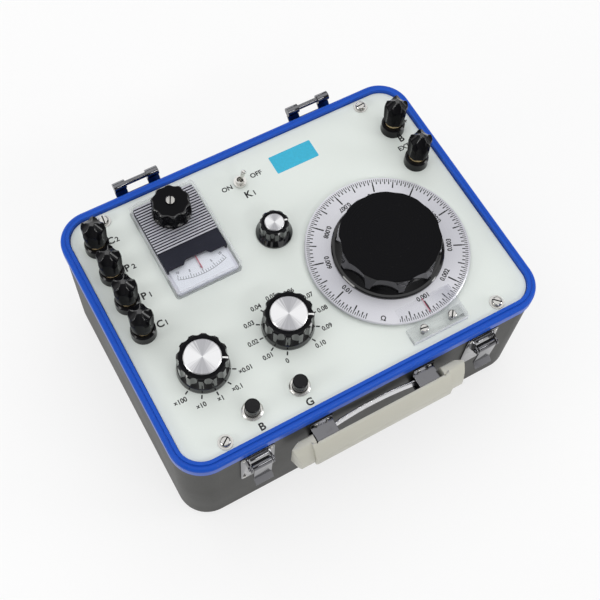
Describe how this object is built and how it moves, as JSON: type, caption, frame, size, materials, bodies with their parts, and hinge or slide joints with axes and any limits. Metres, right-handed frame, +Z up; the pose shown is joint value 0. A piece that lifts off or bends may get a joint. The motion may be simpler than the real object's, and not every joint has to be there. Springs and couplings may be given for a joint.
{
  "type": "kelvin double bridge",
  "caption": "Portable double bridge in a grey case with a blue rim: large slide-wire dial, switch knobs, galvanometer, binding posts, push buttons, latches and handle.",
  "frame": {"origin": "centre of the bounding box on the ground, under the feet", "axes": "+X along the case's width to the right, +Y to the back where the hinges are, +Z up; the handle is at the front, -Y"},
  "size_m": [0.3, 0.2576, 0.154],
  "materials": {
    "case_paint": "smooth satin enamel",
    "rim_blue": "moulded gloss plastic",
    "panel_paint": "pale satin enamel",
    "nickel": "nickel plate",
    "inner_metal": "plain",
    "rubber": "matte",
    "battery_plastic": "moulded",
    "battery_sleeve": "plain sleeve",
    "black_plastic": "moulded black",
    "dial_black": "fine matte grain",
    "clear": "clear acrylic",
    "mask_dark": "ribbed",
    "scale_white": "printed",
    "needle_red": "painted",
    "bakelite": "moulded",
    "switch_board": "laminate",
    "brass": "turned",
    "spun_aluminium": "spun",
    "shaft_steel": "ground",
    "chrome": "plated",
    "board_green": "laminate",
    "grip_cream": "moulded"
  },
  "bodies": {
    "case": {"case_shell": "case_paint", "rim_frame": "rim_blue", "front_panel": "panel_paint", "panel_screws": "nickel", "panel_pillars": "inner_metal", "rubber_feet": "rubber", "battery_hatch": "case_paint", "battery_box": "battery_plastic", "batteries": "battery_sleeve", "galvanometer_base": "mask_dark", "galvanometer_cover": "clear", "galvanometer_mask": "mask_dark", "galvanometer_scale": "scale_white", "toggle_switch": "nickel", "slide_wire_former": "bakelite", "cursor_plate": "clear", "step_switch": "switch_board", "range_switch": "switch_board", "sensitivity_pot": "inner_metal", "button_housings": "nickel", "post_bases": "black_plastic", "post_studs": "brass", "hinge_leaves": "chrome", "steel_pins": "chrome", "latch_plates": "chrome", "handle_brackets": "chrome", "amplifier_board": "board_green"},
    "dial": {"dial_disc": "spun_aluminium", "dial_knob": "dial_black", "dial_shaft": "shaft_steel"},
    "step": {"step_knob": "black_plastic", "step_cap": "spun_aluminium", "step_shaft": "shaft_steel"},
    "range": {"range_knob": "black_plastic", "range_cap": "spun_aluminium", "range_shaft": "shaft_steel"},
    "sensitivity": {"sensitivity_knob": "black_plastic", "sensitivity_cap": "spun_aluminium", "sensitivity_shaft": "shaft_steel"},
    "zero": {"zero_knob": "black_plastic"},
    "needle": {"galvanometer_needle": "needle_red"},
    "toggle": {"toggle_lever": "nickel"},
    "button_b": {"button_b": "black_plastic"},
    "button_g": {"button_g": "black_plastic"},
    "latch_left": {"latch_lever_left": "chrome"},
    "latch_right": {"latch_lever_right": "chrome"},
    "handle": {"handle_grip": "grip_cream", "handle_strap": "chrome"},
    "collar_c1": {"post_collar_c1": "brass"},
    "cap_c1": {"post_cap_c1": "black_plastic"},
    "collar_p1": {"post_collar_p1": "brass"},
    "cap_p1": {"post_cap_p1": "black_plastic"},
    "collar_p2": {"post_collar_p2": "brass"},
    "cap_p2": {"post_cap_p2": "black_plastic"},
    "collar_c2": {"post_collar_c2": "brass"},
    "cap_c2": {"post_cap_c2": "black_plastic"},
    "collar_plus": {"post_collar_plus": "brass"},
    "cap_plus": {"post_cap_plus": "black_plastic"},
    "collar_minus": {"post_collar_minus": "brass"},
    "cap_minus": {"post_cap_minus": "black_plastic"}
  },
  "joints": [
    {"name": "dial_turn", "type": "hinge", "parent": "case", "child": "dial", "pos_m": [0.0632, -0.0186, 0.118], "axis": [0, 0, 1], "range_deg": [-312, 22]},
    {"name": "step_turn", "type": "hinge", "parent": "case", "child": "step", "pos_m": [-0.032, -0.037, 0.118], "axis": [0, 0, 1], "range_deg": [-30, 270]},
    {"name": "range_turn", "type": "hinge", "parent": "case", "child": "range", "pos_m": [-0.1005, -0.0375, 0.118], "axis": [0, 0, 1], "range_deg": [-120, 0]},
    {"name": "sensitivity_turn", "type": "hinge", "parent": "case", "child": "sensitivity", "pos_m": [-0.004, 0.035, 0.118], "axis": [0, 0, 1], "range_deg": [-46, 254]},
    {"name": "zero_turn", "type": "hinge", "parent": "case", "child": "zero", "pos_m": [-0.066, 0.0805, 0.118], "axis": [0, 0, 1], "range_deg": [-45, 45]},
    {"name": "needle_swing", "type": "hinge", "parent": "case", "child": "needle", "pos_m": [-0.066, 0.0805, 0.118], "axis": [0, 0, 1], "range_deg": [-22, 22], "stiffness_Nm_per_rad": 0.0004},
    {"name": "toggle_throw", "type": "hinge", "parent": "case", "child": "toggle", "pos_m": [-0.0062, 0.0855, 0.1195], "axis": [0, 1, 0], "range_deg": [-30, 0]},
    {"name": "button_b_press", "type": "slide", "parent": "case", "child": "button_b", "axis": [0, 0, -1], "range_m": [0, 0.004], "stiffness_N_per_m": 300},
    {"name": "button_g_press", "type": "slide", "parent": "case", "child": "button_g", "axis": [0, 0, -1], "range_m": [0, 0.004], "stiffness_N_per_m": 300},
    {"name": "latch_left_swing", "type": "hinge", "parent": "case", "child": "latch_left", "pos_m": [-0.0945, -0.1129, 0.098], "axis": [-1, 0, 0], "range_deg": [0, 95]},
    {"name": "latch_right_swing", "type": "hinge", "parent": "case", "child": "latch_right", "pos_m": [0.0945, -0.1129, 0.098], "axis": [-1, 0, 0], "range_deg": [0, 95]},
    {"name": "handle_pull", "type": "slide", "parent": "case", "child": "handle", "axis": [0, -1, 0], "range_m": [0, 0.003]},
    {"name": "collar_c1_rise", "type": "slide", "parent": "case", "child": "collar_c1", "axis": [0, 0, 1], "range_m": [0, 0.0035]},
    {"name": "cap_c1_turn", "type": "hinge", "parent": "collar_c1", "child": "cap_c1", "pos_m": [-0.1255, 0.007, 0.118], "axis": [0, 0, 1], "range_deg": [0, 1260.1]},
    {"name": "collar_p1_rise", "type": "slide", "parent": "case", "child": "collar_p1", "axis": [0, 0, 1], "range_m": [0, 0.0035]},
    {"name": "cap_p1_turn", "type": "hinge", "parent": "collar_p1", "child": "cap_p1", "pos_m": [-0.1255, 0.033, 0.118], "axis": [0, 0, 1], "range_deg": [0, 1260.1]},
    {"name": "collar_p2_rise", "type": "slide", "parent": "case", "child": "collar_p2", "axis": [0, 0, 1], "range_m": [0, 0.0035]},
    {"name": "cap_p2_turn", "type": "hinge", "parent": "collar_p2", "child": "cap_p2", "pos_m": [-0.1255, 0.059, 0.118], "axis": [0, 0, 1], "range_deg": [0, 1260.1]},
    {"name": "collar_c2_rise", "type": "slide", "parent": "case", "child": "collar_c2", "axis": [0, 0, 1], "range_m": [0, 0.0035]},
    {"name": "cap_c2_turn", "type": "hinge", "parent": "collar_c2", "child": "cap_c2", "pos_m": [-0.1255, 0.085, 0.118], "axis": [0, 0, 1], "range_deg": [0, 1260.1]},
    {"name": "collar_plus_rise", "type": "slide", "parent": "case", "child": "collar_plus", "axis": [0, 0, 1], "range_m": [0, 0.0035]},
    {"name": "cap_plus_turn", "type": "hinge", "parent": "collar_plus", "child": "cap_plus", "pos_m": [0.1245, 0.074, 0.118], "axis": [0, 0, 1], "range_deg": [0, 1260.1]},
    {"name": "collar_minus_rise", "type": "slide", "parent": "case", "child": "collar_minus", "axis": [0, 0, 1], "range_m": [0, 0.0035]},
    {"name": "cap_minus_turn", "type": "hinge", "parent": "collar_minus", "child": "cap_minus", "pos_m": [0.1245, 0.0388, 0.118], "axis": [0, 0, 1], "range_deg": [0, 1260.1]}
  ],
  "couplings": [
    {"joint": "cap_c1_turn", "follows": "collar_c1_rise", "rad_per_m": 6283.2},
    {"joint": "cap_p1_turn", "follows": "collar_p1_rise", "rad_per_m": 6283.2},
    {"joint": "cap_p2_turn", "follows": "collar_p2_rise", "rad_per_m": 6283.2},
    {"joint": "cap_c2_turn", "follows": "collar_c2_rise", "rad_per_m": 6283.2},
    {"joint": "cap_plus_turn", "follows": "collar_plus_rise", "rad_per_m": 6283.2},
    {"joint": "cap_minus_turn", "follows": "collar_minus_rise", "rad_per_m": 6283.2}
  ]
}
